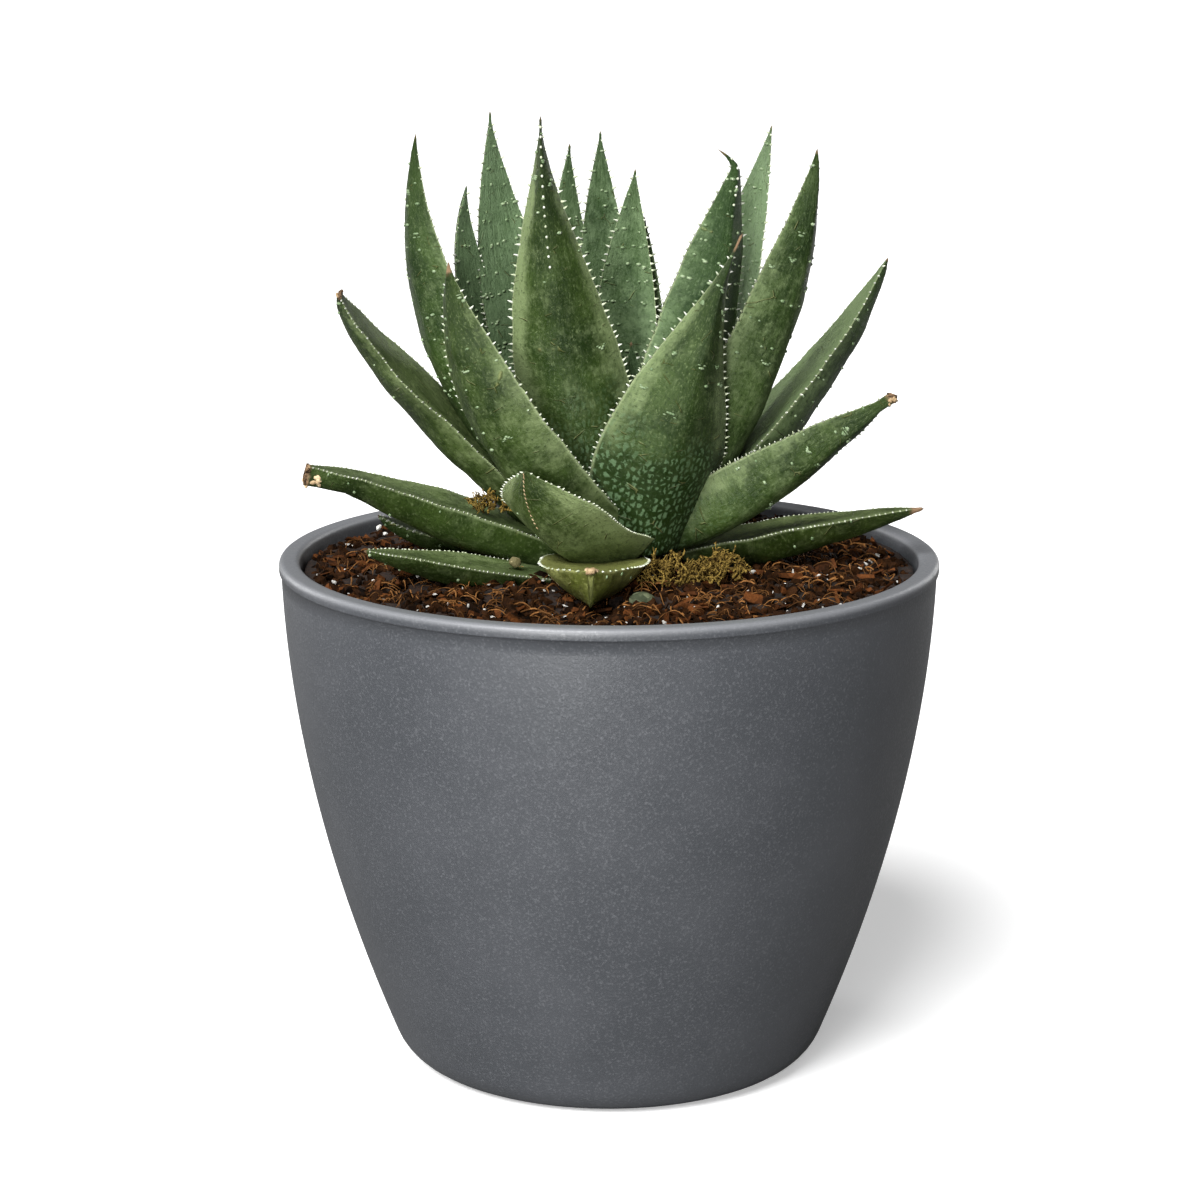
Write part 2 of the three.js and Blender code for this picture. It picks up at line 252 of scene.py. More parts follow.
mix_soil, mix_shader = plain_material("damp_coir_mix", (0.03, 0.016, 0.009), 0.9)
mix_place = add_node(mix_soil, "ShaderNodeTexCoord").outputs["Object"]
mix_lumps = grain(mix_soil, mix_place, 1.6, 6, 0.7)
mix_lumpy = spread(mix_soil, mix_lumps, 0.35, 0.7)
mix_color = blend(mix_soil, mix_lumpy, (0.003, 0.0015, 0.001), (0.035, 0.014, 0.005))
wire(mix_soil, mix_color, mix_shader, "Base Color")
relief(mix_soil, mix_shader, mix_lumps, 0.5, 0.8)
place_piece("mix_body", mix_body, [mix_soil], "potting_mix")


def spot_on_mix(reach):
    angle = mix_seed.uniform(0, 2 * math.pi)
    radius = reach * math.sqrt(mix_seed.random())
    x = radius * math.cos(angle)
    y = radius * math.sin(angle)
    return Vector((x, y, mix_top(x, y)))


def any_turn(rng, tilt=math.pi):
    forwards = Matrix.Rotation(rng.uniform(-tilt, tilt), 4, "X")
    sideways = Matrix.Rotation(rng.uniform(-tilt, tilt), 4, "Y")
    return Matrix.Rotation(rng.uniform(0, 2 * math.pi), 4, "Z") @ forwards @ sideways


def at(place, turn, size):
    return Matrix.Translation(place * mm) @ turn @ Matrix.Diagonal((*(Vector(size) * mm), 1))


def varied_material(name, dark, light, roughness, patch):
    material, shader = plain_material(name, light, roughness)
    shader.inputs["Specular IOR Level"].default_value = 0.06
    place = add_node(material, "ShaderNodeTexCoord").outputs["Object"]
    cells = add_node(material, "ShaderNodeTexVoronoi", {"Vector": place, "Scale": 1 / (patch * mm)})
    pick = add_node(material, "ShaderNodeSeparateColor", {0: cells.outputs["Color"]}).outputs[0]
    fine = grain(material, place, patch / 4, 4, 0.6)
    color = blend(material, pick, dark, light)
    color = blend(material, spread(material, fine, 0.3, 0.75, 0, 0.6), color, dark)
    wire(material, color, shader, "Base Color")
    relief(material, shader, fine, 0.2, 0.7)
    return material


def merge_into(body, batch, slot_index=0):
    for face in batch.faces:
        face.material_index = slot_index
    mesh = bpy.data.meshes.new("batch")
    batch.to_mesh(mesh)
    batch.free()
    body.from_mesh(mesh)
    bpy.data.meshes.remove(mesh)


def strew(count, add_one):
    body = bmesh.new()
    for start in range(0, count, 40):
        batch = bmesh.new()
        for _ in range(min(40, count - start)):
            add_one(batch)
        merge_into(body, batch)
    return body


def roughen(made, rng, amount):
    for vert in made["verts"]:
        vert.co += Vector([rng.uniform(-amount, amount) * mm for _ in range(3)])


def add_crumb(body):
    size = mix_seed.choice((0.6, 0.9, 1.1, 1.6, 2.0)) * mix_seed.uniform(0.7, 1.2)
    place = spot_on_mix(mix_edge - size - 0.4)
    place.z += size * mix_seed.uniform(-0.35, 0.35)
    shape = (size, size * mix_seed.uniform(0.55, 0.9), size * mix_seed.uniform(0.4, 0.8))
    spot = at(place, any_turn(mix_seed), shape)
    made = bmesh.ops.create_icosphere(body, subdivisions=1, radius=1, matrix=spot)
    roughen(made, mix_seed, 0.24 * size)


crumb_earth = varied_material("crumbly_coir", (0.0025, 0.0012, 0.0005), (0.048, 0.018, 0.005), 0.75, 1.6)
place_piece("mix_crumbs", strew(4200, add_crumb), [crumb_earth], smooth=False)


def add_flake(body):
    length = mix_seed.uniform(1.6, 5.8)
    place = spot_on_mix(mix_edge - length / 2 - 0.4)
    place.z += mix_seed.uniform(0.2, 1.3)
    shape = (length, length * mix_seed.uniform(0.18, 0.5), mix_seed.uniform(0.3, 0.9))
    made = bmesh.ops.create_cube(body, size=1, matrix=at(place, any_turn(mix_seed, 0.7), shape))
    roughen(made, mix_seed, 0.35)


bark = varied_material("red_brown_bark", (0.007, 0.0027, 0.001), (0.16, 0.054, 0.015), 0.7, 2.4)
flakes = strew(420, add_flake)
bmesh.ops.bevel(flakes, geom=flakes.edges, offset=0.1 * mm, offset_type="OFFSET", segments=1, profile=0.5,
                affect="EDGES", material=-1)
place_piece("mix_bark_flakes", flakes, [bark], smooth=False)


strand_sides = 4


def lay_strand(body, points, thickness):
    loops = []
    for index, point in enumerate(points):
        ahead = points[min(index + 1, len(points) - 1)]
        behind = points[max(index - 1, 0)]
        turn = (ahead - behind).to_track_quat("Z", "Y").to_matrix().to_4x4()
        taper = thickness * (1 - 0.6 * abs(2 * index / (len(points) - 1) - 1) ** 3)
        ring = bmesh.ops.create_circle(
            body, segments=strand_sides, radius=taper * mm, cap_ends=index in (0, len(points) - 1),
            matrix=Matrix.Translation(point * mm) @ turn,
        )["verts"]
        loops.append(list(dict.fromkeys(edge for vert in ring for edge in vert.link_edges)))
    for lower, upper in zip(loops, loops[1:]):
        bmesh.ops.bridge_loops(body, edges=lower + upper)


def add_fibre(body):
    reach = mix_seed.uniform(2.0, 8.5)
    place = spot_on_mix(mix_edge - reach - 0.6)
    heading = mix_seed.uniform(0, 2 * math.pi)
    curl = mix_seed.uniform(-2.8, 2.8)
    hump = mix_seed.uniform(0.3, 2.2)
    points = []
    steps = 8
    for i in range(steps + 1):
        share = i / steps
        ground = mix_top(place.x, place.y)
        points.append(Vector((place.x, place.y, ground + 0.3 + hump * math.sin(math.pi * share))))
        angle = heading + curl * share
        place = place + Vector((math.cos(angle), math.sin(angle), 0)) * reach / steps
    lay_strand(body, points, mix_seed.choice((0.08, 0.1, 0.13, 0.22)))


coir = strew(1150, add_fibre)
bmesh.ops.recalc_face_normals(coir, faces=coir.faces)
coir_fibre = varied_material("coir_fibre", (0.014, 0.0055, 0.002), (0.36, 0.16, 0.05), 0.6, 4)
place_piece("mix_coir_strands", coir, [coir_fibre])


def add_grit(body):
    size = mix_seed.choice((0.2, 0.25, 0.32, 0.45)) * mix_seed.uniform(0.8, 1.3)
    place = spot_on_mix(mix_edge - 1.5)
    place.z += mix_seed.uniform(0.7, 1.5)
    shape = (size * mix_seed.uniform(1, 2), size * 0.8, size * mix_seed.uniform(0.4, 0.9))
    spot = at(place, any_turn(mix_seed), shape)
    made = bmesh.ops.create_icosphere(body, subdivisions=1, radius=1, matrix=spot)
    roughen(made, mix_seed, 0.25 * size)


white_grit = varied_material("white_grit", (0.42, 0.4, 0.36), (0.85, 0.84, 0.8), 0.8, 1.5)
place_piece("mix_white_grit", strew(190, add_grit), [white_grit], smooth=False)

# --- Stem and roots --------------------------------------------------------------------------
# A short stem holds the leaf bases together and sends a handful of roots into the mix. Dry,
# fibrous and straw-coloured; almost all of it is buried.
stem_skin = varied_material("dry_stem", (0.16, 0.11, 0.06), (0.42, 0.33, 0.2), 0.85, 3)
stem = bpy.data.objects["stem_with_roots"]
stem.data.materials.clear()
stem.data.materials.append(stem_skin)

# --- Leaves ----------------------------------------------------------------------------------
# Thick, pointed leaves, hollow above and keeled below, each grown from the stem. The skin is
# satin olive to grey-green, with a pale band along the margins that is partly bloom and partly
# painted sheen, painted paler still on the side turned to the key light. Faces turned from the
# light are painted lighter, and painted shade darkens the bases where the leaves crowd. The
# margins carry white gristly teeth; the backs have rows of raised pale dots, and old leaves
# have corky, dried ends.
crown_below_mix = 3.8
crown = Vector((6, 3, mix_height - crown_below_mix))
face_hollow = 0.12
spine_steps = 240
leaf_skin, leaf_shader = plain_material("leaf_skin", (0.1, 0.14, 0.06), 0.45)


def leaf_channels(name):
    attribute = add_node(leaf_skin, "ShaderNodeAttribute", attribute_name=name).outputs["Vector"]
    return attribute, add_node(leaf_skin, "ShaderNodeSeparateXYZ", {0: attribute}).outputs


def stretched(material, coordinates, scale):
    return add_node(material, "ShaderNodeMapping", {"Vector": coordinates, "Scale": scale}).outputs[0]


leaf_place, _ = leaf_channels("leaf_place")
# The tint channel carries the bloom together with painted light, the painted shade, and the coolness.
_, (bloom_and_painted_light, shade, coolness) = leaf_channels("leaf_light_and_tint")
_, (dryness, blotching, marginal) = leaf_channels("leaf_marks")

clouds = grain(leaf_skin, leaf_place, 11, 4, 0.6, 1.0)
streaks = grain(leaf_skin, stretched(leaf_skin, leaf_place, (1, 0.22, 1)), 1.5, 4, 0.6, 2.0)
fleck = grain(leaf_skin, leaf_place, 0.7, 4, 0.75, 3.0)
mottle = grain(leaf_skin, leaf_place, 2.6, 4, 0.65, 5.0)

# Coolness runs from a warm olive at 0 to a bluish green at 1. Below 0 it yellows a leaf.
deep = blend(leaf_skin, coolness, (0.011, 0.022, 0.003), (0.009, 0.032, 0.005))
middle = blend(leaf_skin, coolness, (0.048, 0.078, 0.014), (0.042, 0.086, 0.027))
pale = blend(leaf_skin, coolness, (0.19, 0.24, 0.1), (0.145, 0.225, 0.115))
skin = blend(leaf_skin, spread(leaf_skin, clouds, 0.3, 0.66), deep, middle)
# The shade channel pulls the skin towards the deep green: painted shade at the base, and a darker keel and
# tip.
skin = blend(leaf_skin, maths(leaf_skin, "MULTIPLY", shade, 0.72), skin, deep)
# The haze, partly bloom and partly painted light and sheen, pulls the skin towards the pale green.
haze_and_painted_light = maths(leaf_skin, "ADD", bloom_and_painted_light, spread(leaf_skin, mottle, 0.38, 0.72, -0.14, 0.2))
haze_and_painted_light = maths(leaf_skin, "ADD", haze_and_painted_light, spread(leaf_skin, streaks, 0.3, 0.75, -0.07, 0.12))
skin = blend(leaf_skin, spread(leaf_skin, haze_and_painted_light, 0.02, 0.98, 0, 0.92), skin, pale)
skin = blend(leaf_skin, spread(leaf_skin, fleck, 0.52, 0.7, 0, 0.55), skin, pale)
skin = blend(leaf_skin, spread(leaf_skin, fleck, 0.32, 0.48, 0.75, 0), skin, deep)

blotch_warp = grain(leaf_skin, leaf_place, 0.9, 3, 0.6, 8.0)
blotch_shift = maths(leaf_skin, "MULTIPLY", blotch_warp, 1.5 * mm)
blotch_place = add_node(
    leaf_skin, "ShaderNodeVectorMath",
    {0: stretched(leaf_skin, leaf_place, (1, 0.7, 1)), 1: blotch_shift},
    operation="ADD",
).outputs[0]
blotch_cells = add_node(
    leaf_skin, "ShaderNodeTexVoronoi",
    {"Vector": blotch_place, "Scale": 1 / (1.3 * mm), "Randomness": 0.85}, feature="DISTANCE_TO_EDGE",
)
blotch_gap = grain(leaf_skin, leaf_place, 3.2, 3, 0.6, 7.0)
blotch_gap = maths(leaf_skin, "MULTIPLY", blotch_gap, 0.3)
blotch_edge = maths(leaf_skin, "SUBTRACT", blotch_cells.outputs["Distance"], blotch_gap)
blotch_zone = spread(leaf_skin, blotching, 0.0, 0.6)
blotch = maths(leaf_skin, "MULTIPLY", spread(leaf_skin, blotch_edge, -0.02, 0.16), blotch_zone)
skin = blend(leaf_skin, maths(leaf_skin, "MULTIPLY", blotch_zone, 0.85), skin, deep)
skin = blend(leaf_skin, maths(leaf_skin, "MULTIPLY", blotch, 0.75), skin, (0.12, 0.2, 0.1))
skin = blend(leaf_skin, maths(leaf_skin, "MULTIPLY", marginal, 0.7), skin, (0.3, 0.36, 0.19))

crack_cells = add_node(
    leaf_skin, "ShaderNodeTexVoronoi",
    {"Vector": stretched(leaf_skin, leaf_place, (0.45, 1.1, 1)), "Scale": 1 / (6 * mm)},
    feature="DISTANCE_TO_EDGE",
)
crack = spread(leaf_skin, crack_cells.outputs["Distance"], 0.0, 0.02, 1, 0)
crack_on = spread(leaf_skin, grain(leaf_skin, leaf_place, 5, 2, 0.5, 9.0), 0.56, 0.62)
crack = maths(leaf_skin, "MULTIPLY", crack, crack_on)
skin = blend(leaf_skin, maths(leaf_skin, "MULTIPLY", crack, 0.45), skin, (0.25, 0.26, 0.1))

husk = blend(leaf_skin, mottle, (0.12, 0.055, 0.025), (0.5, 0.34, 0.2))
skin = blend(leaf_skin, dryness, skin, husk)
skin = blend(leaf_skin, spread(leaf_skin, coolness, 0.0, -1.0), skin, (1.45, 1.15, 0.5), "MULTIPLY")
wire(leaf_skin, skin, leaf_shader, "Base Color")
leaf_shader.inputs["Specular IOR Level"].default_value = 0.18
gloss = spread(leaf_skin, mottle, 0.3, 0.7, 0.36, 0.52)
gloss = maths(leaf_skin, "ADD", gloss, maths(leaf_skin, "MULTIPLY", dryness, 0.3))
wire(leaf_skin, gloss, leaf_shader, "Roughness")
skin_relief = maths(leaf_skin, "ADD", streaks, maths(leaf_skin, "MULTIPLY", fleck, 0.8))
relief(leaf_skin, leaf_shader, maths(leaf_skin, "SUBTRACT", skin_relief, crack), 0.35, 1.0)


def gristle_material(name, dull, clear, roughness):
    material, shader = plain_material(name, clear, roughness)
    place = add_node(material, "ShaderNodeTexCoord").outputs["Object"]
    tint = spread(material, grain(material, place, 3, 2, 0.5), 0.35, 0.65)
    wire(material, blend(material, tint, dull, clear), shader, "Base Color")
    return material


white_gristle = gristle_material("white_gristle", (0.5, 0.56, 0.36), (0.82, 0.84, 0.74), 0.38)
pale_wart = gristle_material("pale_wart", (0.13, 0.2, 0.09), (0.27, 0.35, 0.2), 0.42)
brown_crust = gristle_material("brown_crust", (0.3, 0.2, 0.1), (0.66, 0.5, 0.3), 0.8)


def leaf_share(shape, along):
    shoulder = shape.get("shoulder", 0.3)
    taper = shape.get("taper", 1.2)
    if along < shoulder:
        return 0.8 + 0.2 * math.sin(math.pi / 2 * along / shoulder)
    past = (along - shoulder) / (1 - shoulder)
    return (1 - past) ** taper * (1 + taper * past)


def leaf_spine(shape):
    base, bow, tip = (crown + Vector(shape[point]) for point in ("base", "bow", "tip"))
    facing = math.radians(shape["facing"])
    level = Vector((-math.sin(facing), math.cos(facing), 0))
    hook = Vector(shape.get("hook", (0, 0, 0)))
    spine = []
    for i in range(spine_steps + 1):
        along = i / spine_steps
        hooked = max(0, (along - 0.93) / 0.07)
        point = (1 - along) ** 2 * base + 2 * along * (1 - along) * bow + along**2 * tip + hook * hooked**2
        forward = (1 - along) * (bow - base) + along * (tip - bow) + hook * hooked * 10
        forward.normalize()
        across = (level - forward * level.dot(forward)).normalized()
        across.rotate(Matrix.Rotation(math.radians(shape.get("roll", 0)), 3, forward))
        spine.append((point, forward, across, forward.cross(across)))
    return spine


def skin_point(shape, spine, along, angle):
    point, forward, across, inward = spine[round(along * spine_steps)]
    side = math.cos(angle)
    face = math.sin(angle)
    length = shape["length"]
    half = max(shape["width"] / 2 * leaf_share(shape, along), shape.get("tip_half", 0.3))
    wave = noise.noise(Vector((shape["seed"] * 9.7, along * length / 8, side * 0.6)))
    half *= 1 + 0.04 * wave
    past = max(0, (along - 0.3) / 0.7)
    depth_share = max((1 - past) * (1 + past / 2), shape.get("blunt", 0))
    depth = min(shape["depth"] * depth_share, max(half * 0.95, shape.get("blunt", 0) * shape["depth"])) + 0.2
    edge = min(0.35, half * 0.4) * abs(face)
    if face >= 0:
        height = -face_hollow * half * (1 - side**2) + edge
    else:
        round_back = 1 - abs(side) ** 2.2
        sharp_back = 1 - math.sqrt(side**2 + 0.004)
        sharp = shape.get("keel", 0.15 + 0.55 * along)
        height = -depth * ((1 - sharp) * round_back + sharp * sharp_back) - edge
    place = point + across * side * half + inward * height
    bumps = noise.noise(place / 10 + Vector((shape["seed"], 0, 0))) * 0.55 + noise.noise(place / 3.2) * 0.14
    return place + inward * bumps * min(1, half / 6)


def turned_to(normal, ahead):
    axis_z = normal.normalized()
    axis_x = ahead.cross(axis_z).normalized()
    axis_y = axis_z.cross(axis_x)
    return Matrix((axis_x, axis_y, axis_z)).transposed().to_4x4()


def ramp(value, low, high):
    share = max(0, min(1, (value - low) / (high - low)))
    return share * share * (3 - 2 * share)


def paint_leaf(shape, side, along, under, place):
    tint = shape.get("tint", {})
    cloud = noise.noise(place / 12 + Vector((shape["seed"] * 3, 0, 0)))
    patch = noise.noise(place / 5 + Vector((0, shape["seed"] * 3, 0)))
    if under:
        # The pale band along the back's margins is partly bloom and partly painted sheen; it is painted
        # brighter still on the side turned to the key light.
        bloom_and_sheen_band = ramp(abs(side) + 0.2 * cloud, 0.55, 0.98) * tint.get("bloom_and_sheen_band", 0.6) * ramp(along, 1.02, 0.75)
        if side * shape.get("pale_side", 0) > 0:
            bloom_and_sheen_band = min(1, bloom_and_sheen_band * 1.5 + 0.12 * abs(side))
        # The middle of the keel and the tip are darker, and painted shade darkens the base, where the leaves
        # crowd together.
        middle_dark = (1 - abs(side)) * tint.get("keel", 0.5)
        # The haze is partly bloom and partly painted light, raised on backs that turn down from the key
        # light.
        bloom_and_painted_light = bloom_and_sheen_band + tint.get("haze_and_painted_light", 0.16) * ramp(along, 0.95, 0.4) + 0.18 * patch
        shade = middle_dark + tint.get("tip", 0.6) * ramp(along, 0.5, 0.98) + 0.3 * cloud
        shade += 0.65 * ramp(along, 0.28, 0.04)
    else:
        # The upper face is partly bloom and partly painted light, raised on faces turned from the key light,
        # and paler towards the margins.
        bloom_and_painted_light = tint.get("face", 0.4) + 0.2 * ramp(abs(side), 0.2, 1) + 0.15 * patch
        # Darker towards the tip; painted shade darkens the base, where the leaves crowd together.
        shade = 0.3 * ramp(along, 0.55, 1) + 0.2 * cloud + 0.25 * ramp(along, 0.25, 0.02)
    return max(0, min(1, bloom_and_painted_light)), max(0, min(1, shade))


# A leaf runs from base past bow to tip, measured from the crown, and its back looks towards
# facing. Dry is the length of dried tip, fold the count of bits along the fold, and gap and
# teeth scale the spacing and the size of the margin teeth.
def grow_leaf(name, seed, **shape):
    shape["seed"] = seed
    rng = random.Random(seed)
    spine = leaf_spine({**shape, "length": 1})
    shape["length"] = sum((b[0] - a[0]).length for a, b in zip(spine, spine[1:]))
    length = shape["length"]
    dry_reach = shape.get("dry", 0.6)
    leaf = bmesh.new()
    bmesh.ops.create_uvsphere(leaf, u_segments=44, v_segments=96, radius=1)
    place_layer = leaf.verts.layers.float_vector.new("leaf_place")
    light_and_tint_layer = leaf.verts.layers.float_vector.new("leaf_light_and_tint")
    marks_layer = leaf.verts.layers.float_vector.new("leaf_marks")
    for vert in leaf.verts:
        along = 1 - math.acos(max(-1, min(1, vert.co.z))) / math.pi
        at_pole = math.hypot(vert.co.x, vert.co.y) < 1e-4
        angle = math.atan2(vert.co.y, -vert.co.x)
        side = 0 if at_pole else math.cos(angle)
        under = vert.co.y < 0
        if at_pole:
            above = skin_point(shape, spine, along, math.pi / 2)
            below = skin_point(shape, spine, along, -math.pi / 2)
            place = (above + below) / 2
        else:
            place = skin_point(shape, spine, along, angle)
        ragged = noise.noise(place / 1.5 + Vector((seed, 0, 0))) * 0.9
        dry_from = length - dry_reach
        dryness = ramp(along * length + ragged, dry_from - 0.6, dry_from + 0.5) * (dry_reach > 0)
        blotching = shape.get("blotch", 0) * ramp(along + 0.1 * noise.noise(place / 6), 0.47, 0.08) * under
        dryness = max(dryness, shape.get("fade", 0))
        half = shape["width"] / 2
        bloom_and_painted_light, shade = paint_leaf(shape, side, along, under, place)
        vert[place_layer] = Vector((side * half, along * length, seed * 40 + under * 20)) * mm
        vert[light_and_tint_layer] = Vector((bloom_and_painted_light, shade, shape.get("cool", 0.3)))
        vert[marks_layer] = Vector((dryness, blotching, ramp(abs(side), 0.965, 0.995) * ramp(along, 1, 0.9)))
        if shape.get("tip_half", 0) > 1 and along > 0.985:
            place += Vector([rng.uniform(-0.5, 0.5) for _ in range(3)])
        vert.co = place * mm

    # Each bit is its material's slot, its count of sides (0 for a round wart) and its place.
    bits = []

    def facing_out(along, angle):
        spot = skin_point(shape, spine, along, angle)
        _, ahead, _, inward = spine[round(along * spine_steps)]
        normal = (skin_point(shape, spine, along, angle + 0.05) - spot).cross(ahead)
        if normal.dot(inward) > 0:
            normal = -normal
        return spot, turned_to(normal, ahead)

    for margin in (0, math.pi):
        run = 0.05 * length
        while run < 0.985 * length - dry_reach:
            along = run / length
            spot = skin_point(shape, spine, along, margin)
            _, ahead, across, inward = spine[round(along * spine_steps)]
            tall = (0.3 + 0.3 * min(1, along / 0.45)) * rng.uniform(0.65, 1.25) * shape.get("teeth", 1)
            lean = across * math.cos(margin) + ahead * rng.uniform(0.1, 0.7) + inward * rng.uniform(-0.3, 0.3)
            thick = 0.15 + 0.3 * tall
            spot = spot + lean.normalized() * tall * 0.55
            bits.append((1, 5, at(spot, turned_to(lean, inward), (thick, thick, tall * 0.8))))
            run += (1.1 + 1.9 * along**1.2) * rng.uniform(0.75, 1.3) * shape.get("gap", 0.9)

    dots = shape.get("dots", 1)
    run = shape.get("dots_from", 0.42) * length
    while run < 0.975 * length - dry_reach:
        wide = leaf_share(shape, run / length) * shape["width"]
        slope = rng.uniform(-1.2, 1.2)
        for _ in range(max(1, round(dots * wide * rng.uniform(0.2, 0.55)))):
            turn = rng.uniform(0.1, 0.9)
            along = min(0.985, (run + slope * (turn - 0.5) + rng.uniform(-0.5, 0.5)) / length)
            angle = turn * math.pi + (0 if shape.get("dots_above") else math.pi)
            spot, turned = facing_out(along, angle)
            size = rng.uniform(0.26, 0.5)
            bits.append((2, 0, at(spot, turned, (size * rng.uniform(1, 1.8), size * 0.9, size * 0.85))))
            if rng.random() < 0.15:
                bits.append((1, 0, at(spot, turned, (size * 0.5, size * 0.5, size * 1.1))))
        run += rng.uniform(3.2, 6.5)

    for index in range(shape.get("keel_dots", 0)):
        spot, turned = facing_out(0.97 - index * 2.3 / length, 1.5 * math.pi)
        bits.append((1, 0, at(spot, turned, (0.3, 0.36, 0.34))))

    for index in range(shape.get("fold", 0)):
        spot, turned = facing_out(0.985 - index * 1.1 / length, 1.5 * math.pi)
        bits.append((3, 0, at(spot, turned, (0.14, 0.75, 0.14))))

    for _ in range(shape.get("scars", 0)):
        along = rng.uniform(0.4, 0.9)
        angle = math.pi + rng.uniform(0.12, 0.88) * math.pi
        bow = rng.choice((-1, 1)) * rng.uniform(0.3, 0.9)
        for step in range(5):
            share = step / 2 - 1
            spot, turned = facing_out(along + bow * (1 - share**2) / length, angle + share * 0.09)
            bits.append((2, 0, at(spot, turned, (0.5, 0.2 + 0.12 * (1 - share**2), 0.3 * (1.1 - share**2)))))

    for along, turn, size in shape.get("crusts", ()):
        for _ in range(7):
            nudge = rng.uniform(-0.6, 0.6) * size / length
            spot, turned = facing_out(min(0.995, along + nudge), turn + rng.uniform(-0.3, 0.3))
            lump = size * rng.uniform(0.3, 0.55)
            bits.append((3, 0, at(spot, turned @ any_turn(rng, 0.5), (lump, lump * 0.7, lump * 0.5))))

    for slot_index in (1, 2, 3):
        chosen = [bit for bit in bits if bit[0] == slot_index]
        for start in range(0, len(chosen), 40):
            batch = bmesh.new()
            for _, sides, matrix in chosen[start:start + 40]:
                if sides:
                    bmesh.ops.create_cone(batch, cap_ends=True, segments=sides, radius1=1, radius2=0.15,
                                          depth=2, matrix=matrix)
                else:
                    bmesh.ops.create_icosphere(batch, subdivisions=1, radius=1, matrix=matrix)
            merge_into(leaf, batch, slot_index)

    bmesh.ops.recalc_face_normals(leaf, faces=leaf.faces)
    piece = name.replace("leaf_", "") + "_leaf"
    place_piece(piece, leaf, [leaf_skin, white_gristle, pale_wart, brown_crust], name)


# Old leaves lie low on the mix; the ends of some have dried and broken off.
# Band, haze and face set the pale amounts, partly bloom and partly painted light, raised for leaves that turn
# from the key light; keel and tip set how much darker the keel and tip are, and below 0 lighten them.
young_painted_lit = {"bloom_and_sheen_band": 0.7, "keel": -0.4, "haze_and_painted_light": 0.75, "tip": -0.4, "face": 0.7}
lime_painted_lit = {"bloom_and_sheen_band": 0.6, "keel": 0.0, "haze_and_painted_light": 0.5, "tip": 0.0, "face": 0.6}
olive = {"bloom_and_sheen_band": 0.2, "keel": 0.3, "haze_and_painted_light": 0.05, "tip": 0.35, "face": 0.45}
painted_lit_face = {"bloom_and_sheen_band": 0.35, "keel": 0.3, "haze_and_painted_light": 0.32, "tip": 0.35, "face": 0.75}
tall = {"bloom_and_sheen_band": 0.65, "keel": 0.6, "haze_and_painted_light": 0.15, "tip": 0.9, "face": 0.45}
grey = {"bloom_and_sheen_band": 0.35, "keel": 0.35, "haze_and_painted_light": 0.2, "tip": 0.45, "face": 0.42}

grow_leaf("leaf_front_stub", 1, base=(-8, -12, 8), bow=(-10, -30, 10), tip=(-10, -49, 12), facing=-94,
          width=24, depth=8, shoulder=0.4, taper=0.8, blunt=0.92, tip_half=0.4, dry=0, keel=0.1,
          dots=0.1, teeth=0.7, gap=0.6,
          cool=-0.45, fade=0.06, tint=young_painted_lit, crusts=((0.99, 1.5, 3.0), (0.975, 1.6, 2.6), (0.6, 4.1, 0.8)))
grow_leaf("leaf_on_mix_left", 2, base=(-17, -15, 4), bow=(-50, -24, 11), tip=(-60, -27, 12), facing=190,
          width=17, depth=6, dots=0.1, teeth=0.7, cool=0.1, gap=0.55, tint=olive, dry=1.2)
grow_leaf("leaf_on_mix_right", 3, base=(10, -3, 8), bow=(42, -6, 16), tip=(65, -9, 18), facing=-2,
          width=17, depth=8, tip_half=0.6, dry=3, dots=0.15, teeth=0.6, cool=0.0, gap=0.55, tint=olive)
grow_leaf("leaf_low_left", 4, base=(-10, -6, 8), bow=(-55, -6, 25), tip=(-74, -11, 28), facing=183,
          width=20, depth=10, taper=1.0, blunt=0.42, tip_half=1.6, dry=1.4, dots=0.12, teeth=0.7, cool=0.15,
          gap=0.55, tint=olive, crusts=((0.93, 5.3, 1.9), (0.99, 4.4, 1.6)))
grow_leaf("leaf_low_right", 5, base=(6, -6, 13), bow=(30, -14, 26), tip=(57, -17, 45), facing=-15,
          width=18, depth=8, roll=-45, taper=1.0, tip_half=1.6, blunt=0.15, dry=1.2, dots=0.35, blotch=0.25,
          scars=8, cool=0.2, gap=0.55, tint=grey, teeth=0.9, crusts=((0.985, 4.4, 1.3), (0.985, 5.6, 1.1)))
grow_leaf("leaf_under_left", 6, base=(-10, 1, 6), bow=(-51, 4, 9), tip=(-59, 3, 14), facing=175, width=13,
          depth=6, cool=0.3, tint=olive, dots=0.1)
grow_leaf("leaf_back_low_left", 7, base=(-5, 7, 4), bow=(-20, 28, 9), tip=(-31, 44, 22), facing=125,
          width=18, depth=7, cool=0.3, tint=grey, dots=0.6)
grow_leaf("leaf_back_low_middle", 8, base=(2, 9, 4), bow=(6, 34, 8), tip=(10, 54, 21), facing=80, width=19,
          depth=7, cool=0.4, tint=grey, dots=0.6)
grow_leaf("leaf_back_low_right", 9, base=(6, 7, 4), bow=(20, 24, 9), tip=(33, 40, 22), facing=50, width=17,
          depth=7, cool=0.3, tint=grey, dots=0.6)

